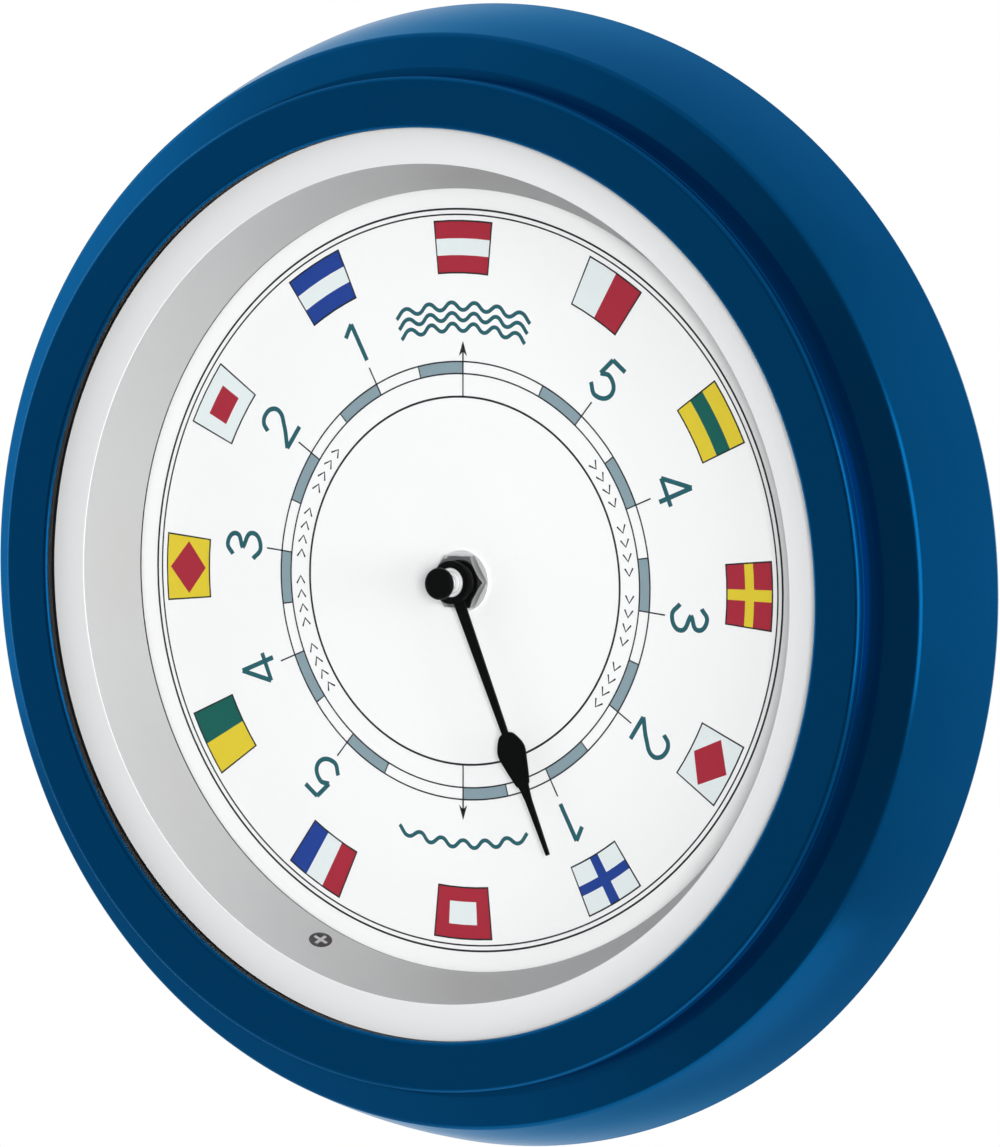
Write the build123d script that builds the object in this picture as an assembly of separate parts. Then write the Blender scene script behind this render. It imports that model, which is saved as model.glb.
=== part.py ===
from build123d import *
import math
import os

# Wall tide clock, modelled facing +Z with its back at Z zero, then stood up for export.

# Case, stepping outwards from the bezel to the rim and back towards the wall
bezel_step = 1.6
shoulder_width = 6.7
shoulder_drop = 2.3
skirt_flare = 5.8
rim_height = 7.4
rim_thick = 2.0
case_wall = 2.4
shoulder_round = 1.6
foot_round = 1.0
skirt_bulge = 0.7
rim_round = 0.9

# Front bezel
bezel_height = 7.0
bezel_wall = 1.8
lip_round = 0.9
edge_round = 0.9
lip_depth = 2.0
channel_depth = 1.0
groove_depth = 0.4
groove_width = 0.5
groove_drop = 1.7
bezel_boss_radius = 2.2
boss_sink = 0.6
boss_room = 0.5
bezel_screw_count = 6

# Lens and gasket
lens_thick = 1.0
gasket_top = 0.2
gasket_side = 0.8
gasket_inset = 0.2
lens_overlap = 3.0
fit_gap = 0.1

# Silver reflector ring, stepping outwards from its foot on the dial
reflector_foot_radius = 78.0
reflector_slope = 5.3
reflector_rise = 13.2
flange_face = 7.1
crease_below_lens = 0.1
flange_drop = 0.1
flange_width = 4.0
reflector_wall = 1.2
crease_round = 0.7
wall_screw_height = 4.6
wall_screw_angle = 247.0

# Case collar and dial seat
collar_gap = 1.6
collar_wall = 2.5
ledge_thick = 1.2
ledge_overlap = 2.5
dial_thick = 0.8
dial_margin = 3.0

# Screws
screw_shank = 1.2
screw_head = 2.6
screw_head_thick = 1.7
screw_slack = 0.05
screw_clear = 0.3
wall_screw_head = 2.7
wall_screw_head_thick = 1.0
wall_screw_seat = 0.8
recess_width = 0.8
recess_depth = 0.7
recess_share = 0.6
pilot_depth = 7.0

# Back cover
cover_thick = 2.0
cover_step = 22.6
cover_flange_gap = 0.4
cover_screw_inset = 13.6
cover_screw_count = 4
cover_boss_radius = 3.4
keyhole_margin = 24.0
keyhole_radius = 4.5
keyhole_slot = 2.3
keyhole_rise = 9.0
window_slack = 0.6
knob_slack = 0.8

# Centre hardware
bush_radius = 4.0
bush_bore = 2.15
bush_proud = 3.1
bush_shoulder = 6.0
bush_shoulder_thick = 0.8
cushion_width = 3.9
washer_radius = 6.15
washer_thick = 0.5
nut_flats = 10.3
nut_sides = 6
nut_thick = 2.2
nut_chamfer = 0.5
thread_gap = 0.05

# Tide hand
hand_length = 57.7
hand_angle = 157.0
hand_thick = 0.5
hub_radius = 4.3
hub_hole = 2.9
hub_thick = 1.2
hub_gap = 0.35
stem_root = 1.2
stem_end = 0.7
tip_half = 0.37
bulb_half = 3.2
hand_reach_shares = (0.555, 0.575, 0.615, 0.655, 0.745, 0.80)
bulb_width_shares = (0.68, 1.0, 0.9, 0.42, 0.22)
bulb_start_share = 0.15
bulb_end_share = 0.12
stem_overlap_share = 0.8
pipe_outer = 2.05
pipe_bore = 1.5
pipe_proud = 0.3
cap_radius = 3.2
cap_thick = 2.0
cap_above_hub = 3.0
cap_bore_depth = 1.2
cap_round = 0.9

# Movement shells
box_wall = 1.2
box_round = 2.0
cover_gap = 0.2
split_share = 0.45
bay_slack = 0.2
cell_radius = 7.1
cell_length = 50.5
nub_radius = 2.6
nub_length = 1.4
contact_thick = 0.4
contact_width = 9.0
contact_height = 10.0
contact_pad = 2.5
contact_play = 0.05
contact_gap = 1.1

# Wheel layers
wheel_thick = 0.8
layer_gap = 0.5
magnet_room = 2.2
wheel_room = 1.04
plate_thick = 0.8
pinion_over = 0.1
motion_module = 0.4
train_module = 0.25
tooth_share = 0.36
addendum_share = 0.9
dedendum_share = 1.3
pressure_angle = 20.0
half_turn_angle = 180.0
cannon_teeth = 15
minute_teeth = 45
minute_pinion_teeth = 12
hour_teeth = 48
setting_teeth = 15
train_pinion_teeth = 8
centre_teeth = 64
third_teeth = 60
second_teeth = 48
intermediate_teeth = 40
minute_direction = 150.0
setting_direction = 110.0
third_direction = 20.0
second_direction = 30.0
intermediate_direction = 110.0
rotor_direction = 90.0
arbor_radius = 0.6
pivot_radius = 0.35
pivot_depth = 0.6
pivot_slack = 0.05
centre_arbor_radius = 1.0
front_arbor_radius = 1.42
stem_radius = 1.5
knob_radius = 7.0
knob_proud = 0.4
knob_flutes = 24
flute_depth = 0.6
plate_slack = 0.2
plate_clear = 0.8
post_width = 4.0

# Motor and electronics
magnet_radius = 2.9
magnet_thick = 2.0
magnet_bore_slack = 0.02
rotor_hole = 3.4
stator_radius = 5.0
stator_thick = 1.0
stator_bar = 3.0
stator_left = -12.0
stator_post = 4.0
stator_stand = 0.7
stator_room = 1.9
core_width = 2.2
coil_radius = 2.6
coil_length = 13.0
coil_margin = 1.6
board_thick = 0.8
board_gap = 3.0
board_height = 13.5
board_margin = 0.6
crystal_radius = 1.0
crystal_length = 6.0
chip_width = 5.0
chip_height = 4.0
chip_thick = 1.0

# Heights that follow from the sizes above, from the wall outwards
box_back = cover_thick + cover_gap
back_inside = box_back + box_wall
magnet_low = back_inside + magnet_room
magnet_top = magnet_low + magnet_thick
intermediate_low = magnet_top + layer_gap
intermediate_top = intermediate_low + wheel_thick
second_low = intermediate_top + layer_gap
second_top = second_low + wheel_thick
third_low = second_top + layer_gap
third_top = third_low + wheel_thick
centre_low = third_top + layer_gap
centre_top = centre_low + wheel_thick
plate_low = centre_top + layer_gap
plate_top = plate_low + plate_thick
minute_low = plate_top + layer_gap
minute_top = minute_low + wheel_thick
hour_low = minute_top + layer_gap
hour_top = hour_low + wheel_thick
front_inside = hour_top + layer_gap
box_front = front_inside + box_wall
split_height = box_back + (box_front - box_back) * split_share
dial_back = box_front + bush_shoulder_thick
dial_height = dial_back + dial_thick
crease_height = dial_height + reflector_rise
flange_height = crease_height - flange_drop
lens_low = crease_height + crease_below_lens
lens_top = lens_low + lens_thick
front_height = lens_top + gasket_top + lip_depth
bezel_deck_low = front_height - lip_depth - channel_depth
foot_height = front_height - bezel_height
shoulder_height = foot_height - shoulder_drop
rim_back_height = rim_height - rim_thick
cover_flange_top = rim_height + cover_thick / 2
cover_flange_low = cover_flange_top - cover_thick
collar_top = flange_height - reflector_wall
ledge_low = dial_back - ledge_thick
bush_top = dial_height + bush_proud
hub_low = bush_top + hub_gap
hub_top = hub_low + hub_thick
pipe_top = hub_top + pipe_proud
cap_low = hub_top + cap_above_hub

# Radii that follow, from the dial outwards
cushion_radius = bush_shoulder + fit_gap + cushion_width
dial_radius = reflector_foot_radius + dial_margin
crease_radius = reflector_foot_radius + reflector_slope
collar_inner = crease_radius + reflector_wall + collar_gap
collar_outer = collar_inner + collar_wall
ledge_inner = reflector_foot_radius + reflector_wall - ledge_overlap
lip_radius = crease_radius + flange_face
flange_inner = lip_radius - gasket_inset
flange_outer = lip_radius + flange_width
lens_radius = lip_radius + lens_overlap
gasket_outer = lens_radius + gasket_side
bezel_screw_radius = flange_outer + boss_room + bezel_boss_radius
bezel_radius = bezel_screw_radius + bezel_boss_radius - boss_sink + bezel_wall
foot_radius = bezel_radius + bezel_step
shoulder_radius = foot_radius + shoulder_width
rim_radius = shoulder_radius + skirt_flare
plateau_radius = rim_radius - cover_step
cover_screw_radius = rim_radius - cover_screw_inset
keyhole_height = plateau_radius - keyhole_margin
bezel_screw_start = half_turn_angle / bezel_screw_count
cover_screw_start = half_turn_angle / cover_screw_count


def polar(centre, distance, direction):
    angle = math.radians(direction)
    return (centre[0] + distance * math.cos(angle), centre[1] + distance * math.sin(angle))


def mesh_distance(module, first_teeth, second_teeth):
    return module * (first_teeth + second_teeth) / 2


centre_axis = (0, 0)
minute_reach = mesh_distance(motion_module, cannon_teeth, minute_teeth)
setting_reach = mesh_distance(motion_module, minute_teeth, setting_teeth)
third_reach = mesh_distance(train_module, train_pinion_teeth, centre_teeth)
second_reach = mesh_distance(train_module, train_pinion_teeth, third_teeth)
intermediate_reach = mesh_distance(train_module, train_pinion_teeth, second_teeth)
rotor_reach = mesh_distance(train_module, train_pinion_teeth, intermediate_teeth)
minute_axis = polar(centre_axis, minute_reach, minute_direction)
setting_axis = polar(minute_axis, setting_reach, setting_direction)
third_axis = polar(centre_axis, third_reach, third_direction)
second_axis = polar(third_axis, second_reach, second_direction)
intermediate_axis = polar(second_axis, intermediate_reach, intermediate_direction)
rotor_axis = polar(intermediate_axis, rotor_reach, rotor_direction)

# Movement box, wide enough for the cell and tall enough for the wheels above it
chamber_side = cell_length / 2 + contact_play + contact_thick + contact_gap
half_box = chamber_side + box_wall
chamber_top = rotor_axis[1] + stator_radius + stator_room
chamber_low = -motion_module * (hour_teeth / 2 + addendum_share) - wheel_room
bay_top = chamber_low - box_wall
bay_low = bay_top - 2 * (cell_radius + bay_slack)
box_top = chamber_top + box_wall
box_low = bay_low - box_wall
cell_y = (bay_low + bay_top) / 2
cell_z = front_inside - bay_slack - cell_radius

on_base = (Align.CENTER, Align.CENTER, Align.MIN)
under_top = (Align.CENTER, Align.CENTER, Align.MAX)


def disc(radius, low, high, centre=(0, 0)):
    return Pos(centre[0], centre[1], low) * Cylinder(radius, high - low, align=on_base)


def tube(outer, inner, low, high, centre=(0, 0)):
    return disc(outer, low, high, centre) - disc(inner, low, high, centre)


def block(left, right, bottom, top, low, high):
    box = Box(right - left, top - bottom, high - low, align=(Align.MIN, Align.MIN, Align.MIN))
    return Pos(left, bottom, low) * box


def turned(corners):
    # Each corner is radius, height and corner round
    points = [(radius, height) for radius, height, _ in corners]
    rounds = [corner_round for _, _, corner_round in corners]
    outline = FilletPolyline(*points, radius=rounds, close=True)
    return revolve(Plane.XZ * make_face(outline), Axis.Z)


def around(count, radius, start):
    return [polar((0, 0), radius, start + index * 360 / count) for index in range(count)]


def involute(angle):
    return math.tan(angle) - angle


def tooth_half_angle(teeth, module, radius):
    pitch_radius = module * teeth / 2
    base_radius = pitch_radius * math.cos(math.radians(pressure_angle))
    half_angle = tooth_share * math.pi / teeth + involute(math.radians(pressure_angle))
    if radius > base_radius:
        half_angle -= involute(math.acos(base_radius / radius))
    return half_angle


def gear(teeth, module, low, high, centre, phase):
    pitch_radius = module * teeth / 2
    tip = pitch_radius + addendum_share * module
    root = pitch_radius - dedendum_share * module
    radii = (root, pitch_radius, (pitch_radius + tip) / 2, tip)
    points = []
    for index in range(teeth):
        middle = math.radians(phase) + index * math.tau / teeth
        flank = [(radius, tooth_half_angle(teeth, module, radius)) for radius in radii]
        for radius, half_angle in flank:
            points.append((radius * math.cos(middle - half_angle), radius * math.sin(middle - half_angle)))
        for radius, half_angle in reversed(flank):
            points.append((radius * math.cos(middle + half_angle), radius * math.sin(middle + half_angle)))
    face = make_face(Polyline(*points, close=True))
    return Pos(centre[0], centre[1], low) * extrude(face, high - low)


def mate_phase(phase, teeth, direction, mate_teeth):
    # Turns the mate so that a gap faces the tooth of the first gear
    offset = (direction - phase) / (360 / teeth)
    mate_pitch = 360 / mate_teeth
    return direction + half_turn_angle + offset * mate_pitch + mate_pitch / 2


def pivoted(axis, low_seat, high_seat):
    arbor = disc(arbor_radius, low_seat + fit_gap, high_seat - fit_gap, axis)
    return arbor + disc(pivot_radius, low_seat - pivot_depth, high_seat + pivot_depth, axis)


def pivot_hole(axis, low, high):
    return disc(pivot_radius + pivot_slack, low, high, axis)


def wall_screw_place():
    # On the reflector wall, with its Z square to the wall
    rise_share = wall_screw_height / reflector_rise
    slope = math.atan2(reflector_rise, reflector_slope)
    angle = math.radians(wall_screw_angle)
    radius = reflector_foot_radius + reflector_slope * rise_share
    outward = math.sin(slope)
    normal = (-outward * math.cos(angle), -outward * math.sin(angle), math.cos(slope))
    along = (-math.sin(angle), math.cos(angle), 0)
    point = (radius * math.cos(angle), radius * math.sin(angle), dial_height + wall_screw_height)
    return Plane(origin=point, x_dir=along, z_dir=normal)


def shank_tool(radius, reach):
    rod = Cylinder(radius, reach, align=under_top)
    return wall_screw_place() * rod


def case_shell():
    inner_rim = rim_radius - case_wall
    deck_low = foot_height - case_wall
    bulge_radius = (rim_radius + shoulder_radius) / 2 + skirt_bulge
    bulge_height = (rim_height + shoulder_height) / 2
    body = turned(
        [
            (collar_inner, collar_top, 0),
            (collar_inner, dial_back, 0),
            (ledge_inner, dial_back, 0),
            (ledge_inner, ledge_low, 0),
            (collar_outer, ledge_low, 0),
            (collar_outer, deck_low, 0),
            (foot_radius, deck_low, 0),
            (shoulder_radius - case_wall, shoulder_height - case_wall, shoulder_round / 2),
            (inner_rim, rim_height + case_wall, 0),
            (inner_rim, rim_back_height, 0),
            (rim_radius - rim_round, rim_back_height, rim_round),
            (rim_radius, rim_height, 0),
            (bulge_radius, bulge_height, rim_radius),
            (shoulder_radius, shoulder_height, shoulder_round),
            (foot_radius, foot_height, foot_round),
            (collar_outer, foot_height, 0),
            (collar_outer, collar_top, 0),
        ]
    )
    for spot in around(cover_screw_count, cover_screw_radius, cover_screw_start):
        body += disc(cover_boss_radius, cover_flange_top, deck_low, spot)
        body -= disc(screw_shank + screw_slack, cover_flange_top, cover_flange_top + pilot_depth, spot)
    for spot in around(bezel_screw_count, bezel_screw_radius, bezel_screw_start):
        body -= disc(screw_shank + screw_clear, deck_low, foot_height, spot)
    body -= shank_tool(screw_shank + screw_slack, collar_outer - reflector_foot_radius)
    return body


def front_bezel():
    groove = front_height - groove_drop
    body = turned(
        [
            (lip_radius, front_height, lip_round),
            (lip_radius, front_height - lip_depth, 0),
            (gasket_outer + fit_gap, front_height - lip_depth, 0),
            (gasket_outer + fit_gap, bezel_deck_low, 0),
            (bezel_radius - bezel_wall, bezel_deck_low, 0),
            (bezel_radius - bezel_wall, foot_height, 0),
            (bezel_radius, foot_height, 0),
            (bezel_radius, groove - groove_width, 0),
            (bezel_radius - groove_depth, groove - groove_width / 2, 0),
            (bezel_radius, groove, 0),
            (bezel_radius, front_height, edge_round),
        ]
    )
    for spot in around(bezel_screw_count, bezel_screw_radius, bezel_screw_start):
        body += disc(bezel_boss_radius, foot_height, bezel_deck_low, spot)
        body -= disc(screw_shank + screw_slack, foot_height, bezel_deck_low, spot)
    return body


def lens_gasket():
    channel_top = front_height - lip_depth
    inner = lip_radius + gasket_inset
    seat = lens_low - flange_height
    ring = tube(gasket_outer, inner, flange_height, channel_top)
    return ring - disc(lens_radius, flange_height + seat, lens_top)


def reflector_ring():
    body = turned(
        [
            (reflector_foot_radius, dial_height, 0),
            (crease_radius, crease_height, crease_round),
            (flange_inner, flange_height, 0),
            (flange_outer, flange_height, 0),
            (flange_outer, flange_height - reflector_wall, 0),
            (crease_radius + reflector_wall, flange_height - reflector_wall, 0),
            (reflector_foot_radius + reflector_wall, dial_height, 0),
        ]
    )
    seat = Cylinder(wall_screw_head + screw_slack, wall_screw_seat + wall_screw_head)
    body -= wall_screw_place() * Pos(0, 0, (wall_screw_head - wall_screw_seat) / 2) * seat
    return body - shank_tool(screw_shank + screw_slack, collar_outer - reflector_foot_radius)


def cross_recess(radius, top):
    arm = Box(2 * radius * recess_share, recess_width, recess_depth, align=under_top)
    return Pos(0, 0, top) * (arm + Rot(0, 0, 90) * arm)


def wall_screw():
    head_top = wall_screw_head_thick - wall_screw_seat
    head = Pos(0, 0, -wall_screw_seat) * Cylinder(
        wall_screw_head, wall_screw_head_thick, align=on_base
    )
    head = fillet(head.edges().group_by(Axis.Z)[-1], wall_screw_head_thick * recess_share)
    shank = Cylinder(
        screw_shank, collar_outer - reflector_foot_radius - case_wall, align=under_top
    )
    return wall_screw_place() * (head + shank - cross_recess(wall_screw_head, head_top))


def rear_screw(spot, head_low, tip):
    head = Cylinder(screw_head, screw_head_thick, align=on_base)
    head -= Rot(180, 0, 0) * cross_recess(screw_head, 0)
    shank = disc(screw_shank, screw_head_thick, tip - head_low)
    return Pos(spot[0], spot[1], head_low) * (head + shank)


def dial_plate():
    return tube(dial_radius, bush_radius + thread_gap, dial_back, dial_height)


def threaded_bush():
    body = disc(bush_radius, front_inside, bush_top) + disc(bush_shoulder, box_front, dial_back)
    return body - disc(bush_bore, front_inside, bush_top)


def cushion():
    return tube(cushion_radius, bush_shoulder + fit_gap, box_front, dial_back)


def dial_washer():
    return tube(washer_radius, bush_radius + thread_gap, dial_height, dial_height + washer_thick)


def hex_nut():
    low = dial_height + washer_thick
    top = low + nut_thick
    hexagon = RegularPolygon(nut_flats / 2, nut_sides, major_radius=False)
    body = Pos(0, 0, low) * extrude(hexagon, nut_thick)
    corner = nut_flats / math.sqrt(3)
    cone = turned(
        [
            (0, low, 0),
            (corner, low, 0),
            (corner, top - nut_chamfer, 0),
            (nut_flats / 2, top, 0),
            (0, top, 0),
        ]
    )
    return (body & cone) - disc(bush_radius + thread_gap, low, top)


def tide_hand():
    reaches = [hand_length * share for share in hand_reach_shares]
    widths = [stem_end] + [bulb_half * share for share in bulb_width_shares]
    side = list(zip(widths, reaches))
    root = (stem_root, hub_radius * stem_overlap_share)
    tip = (tip_half, hand_length)
    half = [
        Line(root, side[0]),
        Spline(side, tangents=[(1, bulb_start_share), (-bulb_end_share, 1)]),
        Line(side[-1], tip),
        Line(tip, (0, hand_length)),
        Line((0, hand_length), (0, root[1])),
        Line((0, root[1]), root),
    ]
    blade_low = (hub_low + hub_top - hand_thick) / 2
    right = Pos(0, 0, blade_low) * extrude(make_face(half), hand_thick)
    body = right + mirror(right, Plane.YZ) + disc(hub_radius, hub_low, hub_top)
    body -= disc(hub_hole, hub_low, hub_top)
    return Rot(0, 0, -hand_angle) * body


def hand_bush():
    return tube(hub_hole, pipe_outer, hub_low, hub_top)


def hour_wheel():
    wheel = gear(hour_teeth, motion_module, hour_low, hour_top, centre_axis, 0)
    return wheel + disc(pipe_outer, hour_low, pipe_top) - disc(pipe_bore, hour_low, pipe_top)


def centre_arbor():
    body = disc(pivot_radius, back_inside - pivot_depth, cap_low)
    body += disc(centre_arbor_radius, back_inside + fit_gap, cap_low)
    return body + disc(front_arbor_radius, minute_top + pinion_over, cap_low + cap_bore_depth)


def cannon_pinion():
    low = minute_low - pinion_over
    top = minute_top + pinion_over
    wheel = gear(cannon_teeth, motion_module, low, top, centre_axis, 0)
    return wheel - disc(centre_arbor_radius, low, top)


def hand_cap():
    body = disc(cap_radius, cap_low, cap_low + cap_thick)
    body = fillet(body.edges().filter_by(GeomType.CIRCLE), cap_round)
    return body - disc(front_arbor_radius, cap_low, cap_low + cap_bore_depth)


def minute_wheel():
    wheel_phase = mate_phase(0, cannon_teeth, minute_direction, minute_teeth)
    pinion_phase = mate_phase(0, hour_teeth, minute_direction, minute_pinion_teeth)
    wheel = gear(minute_teeth, motion_module, minute_low, minute_top, minute_axis, wheel_phase)
    pinion = gear(minute_pinion_teeth, motion_module, minute_top, hour_top, minute_axis, pinion_phase)
    return wheel + pinion + pivoted(minute_axis, plate_top, front_inside)


def setting_stem():
    wheel_phase = mate_phase(0, cannon_teeth, minute_direction, minute_teeth)
    phase = mate_phase(wheel_phase, minute_teeth, setting_direction, setting_teeth)
    low = minute_low - pinion_over
    pinion = gear(setting_teeth, motion_module, low, minute_top + pinion_over, setting_axis, phase)
    stem = disc(stem_radius, cover_thick - pinion_over, low, setting_axis)
    tail = disc(arbor_radius, low, front_inside - fit_gap, setting_axis)
    return pinion + stem + tail + disc(pivot_radius, low, front_inside + pivot_depth, setting_axis)


def setting_knob():
    top = cover_thick - pinion_over
    body = disc(knob_radius, knob_proud, top, setting_axis)
    for index in range(knob_flutes):
        spot = polar(setting_axis, knob_radius, index * 360 / knob_flutes)
        body -= disc(flute_depth, knob_proud, top, spot)
    return body


def train_wheel(axis, wheel, pinion, low_seat, high_seat):
    body = pivoted(axis, low_seat, high_seat)
    for teeth, low, top, phase in (wheel, pinion):
        body += gear(teeth, train_module, low, top, axis, phase)
    return body


centre_phase = 0
third_pinion_phase = mate_phase(centre_phase, centre_teeth, third_direction, train_pinion_teeth)
third_phase = 0
second_pinion_phase = mate_phase(third_phase, third_teeth, second_direction, train_pinion_teeth)
second_phase = 0
intermediate_pinion_phase = mate_phase(
    second_phase, second_teeth, intermediate_direction, train_pinion_teeth
)
intermediate_phase = 0
rotor_phase = mate_phase(intermediate_phase, intermediate_teeth, rotor_direction, train_pinion_teeth)


def centre_wheel():
    wheel = gear(centre_teeth, train_module, centre_low, centre_top, centre_axis, centre_phase)
    return wheel - disc(centre_arbor_radius + pivot_slack, centre_low, centre_top)


def third_wheel():
    wheel = (third_teeth, third_low, third_top, third_phase)
    pinion = (train_pinion_teeth, third_top, centre_top + pinion_over, third_pinion_phase)
    return train_wheel(third_axis, wheel, pinion, back_inside, plate_low)


def second_wheel():
    wheel = (second_teeth, second_low, second_top, second_phase)
    pinion = (train_pinion_teeth, second_top, third_top + pinion_over, second_pinion_phase)
    return train_wheel(second_axis, wheel, pinion, back_inside, plate_low)


def intermediate_wheel():
    wheel = (intermediate_teeth, intermediate_low, intermediate_top, intermediate_phase)
    pinion = (train_pinion_teeth, intermediate_top, second_top + pinion_over, intermediate_pinion_phase)
    return train_wheel(intermediate_axis, wheel, pinion, back_inside, plate_low)


def rotor_pinion():
    top = intermediate_top + pinion_over
    pinion = gear(train_pinion_teeth, train_module, magnet_top, top, rotor_axis, rotor_phase)
    return pinion + pivoted(rotor_axis, back_inside, plate_low)


def rotor_magnet():
    return tube(magnet_radius, arbor_radius + magnet_bore_slack, magnet_low, magnet_top, rotor_axis)


def train_axes():
    return (third_axis, second_axis, intermediate_axis, rotor_axis)


def train_plate():
    side = chamber_side - plate_slack
    body = block(-side, side, chamber_low + plate_slack, chamber_top - plate_slack, plate_low, plate_top)
    for axis in train_axes() + (minute_axis,):
        body -= pivot_hole(axis, plate_low, plate_top)
    body -= disc(centre_arbor_radius + plate_clear, plate_low, plate_top)
    body -= disc(stem_radius + plate_clear, plate_low, plate_top, setting_axis)
    return body


def movement_front():
    outer = block(-half_box, half_box, box_low, box_top, split_height, box_front)
    outer = fillet(outer.edges().filter_by(Axis.Z), box_round)
    outer -= block(-chamber_side, chamber_side, chamber_low, chamber_top, split_height, front_inside)
    outer -= block(-chamber_side, chamber_side, bay_low, bay_top, split_height, front_inside)
    for left in (-chamber_side, chamber_side - post_width):
        for bottom in (chamber_low, chamber_top - post_width):
            outer += block(left, left + post_width, bottom, bottom + post_width, plate_top, front_inside)
    outer -= disc(bush_radius, front_inside, box_front)
    for axis in (minute_axis, setting_axis):
        outer -= pivot_hole(axis, front_inside, front_inside + pivot_depth + fit_gap)
    return outer


def movement_back():
    outer = block(-half_box, half_box, box_low, box_top, box_back, split_height)
    outer = fillet(outer.edges().filter_by(Axis.Z), box_round)
    outer -= block(-chamber_side, chamber_side, chamber_low, chamber_top, back_inside, split_height)
    outer -= block(-chamber_side, chamber_side, bay_low, bay_top, box_back, split_height)
    for spot in stator_stands():
        outer += disc(stator_stand, back_inside, stator_low(), spot)
    for axis in train_axes() + (centre_axis,):
        outer -= pivot_hole(axis, back_inside - pivot_depth - fit_gap, back_inside)
    return outer - disc(stem_radius + pivot_slack, box_back, back_inside, setting_axis)


def stator_low():
    return (magnet_low + magnet_top - stator_thick) / 2


def stator_stands():
    rim = (rotor_hole + stator_radius) / 2
    post_x = stator_left + stator_post / 2
    return (
        (rotor_axis[0] + rim, rotor_axis[1]),
        (post_x, rotor_axis[1] - stator_radius + stator_post / 2),
        (post_x, rotor_axis[1] + stator_radius - stator_post / 2),
    )


def stator_plate():
    low = stator_low()
    top = low + stator_thick
    lower = rotor_axis[1] - stator_radius + fit_gap
    body = disc(stator_radius, low, top, rotor_axis)
    body += block(stator_left, rotor_axis[0], lower, lower + stator_bar, low, top)
    body += block(stator_left, stator_left + stator_post, lower, rotor_axis[1] + stator_radius, low, top)
    return body - disc(rotor_hole, low, top, rotor_axis)


def coil_axis():
    return rotor_axis[1] + stator_radius - core_width


def coil_core():
    low = stator_low() + stator_thick
    right = rotor_axis[0] - rotor_hole - arbor_radius
    bottom = coil_axis() - core_width / 2
    return block(stator_left, right, bottom, bottom + core_width, low, low + stator_thick)


def coil_winding():
    middle = stator_low() + stator_thick + stator_thick / 2
    left = stator_left + stator_post + coil_margin
    coil = Rot(0, 90, 0) * Cylinder(coil_radius, coil_length, align=on_base)
    return Pos(left, coil_axis(), middle) * coil - coil_core()


def board_edges():
    left = -chamber_side + board_margin
    bottom = chamber_low + board_margin
    return left, -board_gap, bottom, bottom + board_height


def circuit_board():
    left, right, bottom, top = board_edges()
    return block(left, right, bottom, top, back_inside, back_inside + board_thick)


def quartz_crystal():
    left, _, bottom, _ = board_edges()
    can = Rot(0, 90, 0) * Cylinder(crystal_radius, crystal_length, align=on_base)
    middle = back_inside + board_thick + crystal_radius
    return Pos(left + crystal_length / 2, bottom + chip_height, middle) * can


def chip():
    left, _, bottom, _ = board_edges()
    start = left + 2 * crystal_length
    low = back_inside + board_thick
    edge = bottom + chip_height
    return block(start, start + chip_width, edge, edge + chip_height, low, low + chip_thick)


def battery_cell():
    can = Rot(0, 90, 0) * Cylinder(cell_radius, cell_length - nub_length)
    nub = Pos(cell_length / 2, 0, 0) * Rot(0, 90, 0) * Cylinder(nub_radius, nub_length)
    body = Pos(-nub_length / 2, 0, 0) * can + Pos(-nub_length / 2, 0, 0) * nub
    return Pos(0, cell_y, cell_z) * body


def battery_contact(side):
    plate = Box(contact_thick, contact_width, contact_height, align=(Align.MAX, Align.CENTER, Align.CENTER))
    pad = Cylinder(contact_pad, contact_gap, align=under_top)
    body = plate + Pos(-contact_thick, 0, 0) * Rot(0, 90, 0) * pad
    turn = 0 if side > 0 else 180
    return Pos(side * chamber_side, cell_y, cell_z) * Rot(0, 0, turn) * body


def back_cover():
    flange_outer_radius = rim_radius - case_wall - cover_flange_gap
    body = turned(
        [
            (0, 0, 0),
            (plateau_radius, 0, rim_round),
            (plateau_radius, cover_flange_low, 0),
            (flange_outer_radius, cover_flange_low, 0),
            (flange_outer_radius, cover_flange_top, 0),
            (plateau_radius - cover_thick, cover_flange_top, 0),
            (plateau_radius - cover_thick, cover_thick, 0),
            (0, cover_thick, 0),
        ]
    )
    window = chamber_side + window_slack
    body -= block(-window, window, bay_low - window_slack, bay_top + window_slack, 0, cover_thick)
    body -= disc(knob_radius + knob_slack, 0, cover_thick, setting_axis)
    body -= disc(keyhole_radius, 0, cover_thick, (0, keyhole_height))
    body -= disc(keyhole_slot, 0, cover_thick, (0, keyhole_height + keyhole_rise))
    slot_top = keyhole_height + keyhole_rise
    body -= block(-keyhole_slot, keyhole_slot, keyhole_height, slot_top, 0, cover_thick)
    for spot in around(cover_screw_count, cover_screw_radius, cover_screw_start):
        body -= disc(screw_shank + screw_clear, cover_flange_low, cover_flange_top, spot)
    return body


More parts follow.
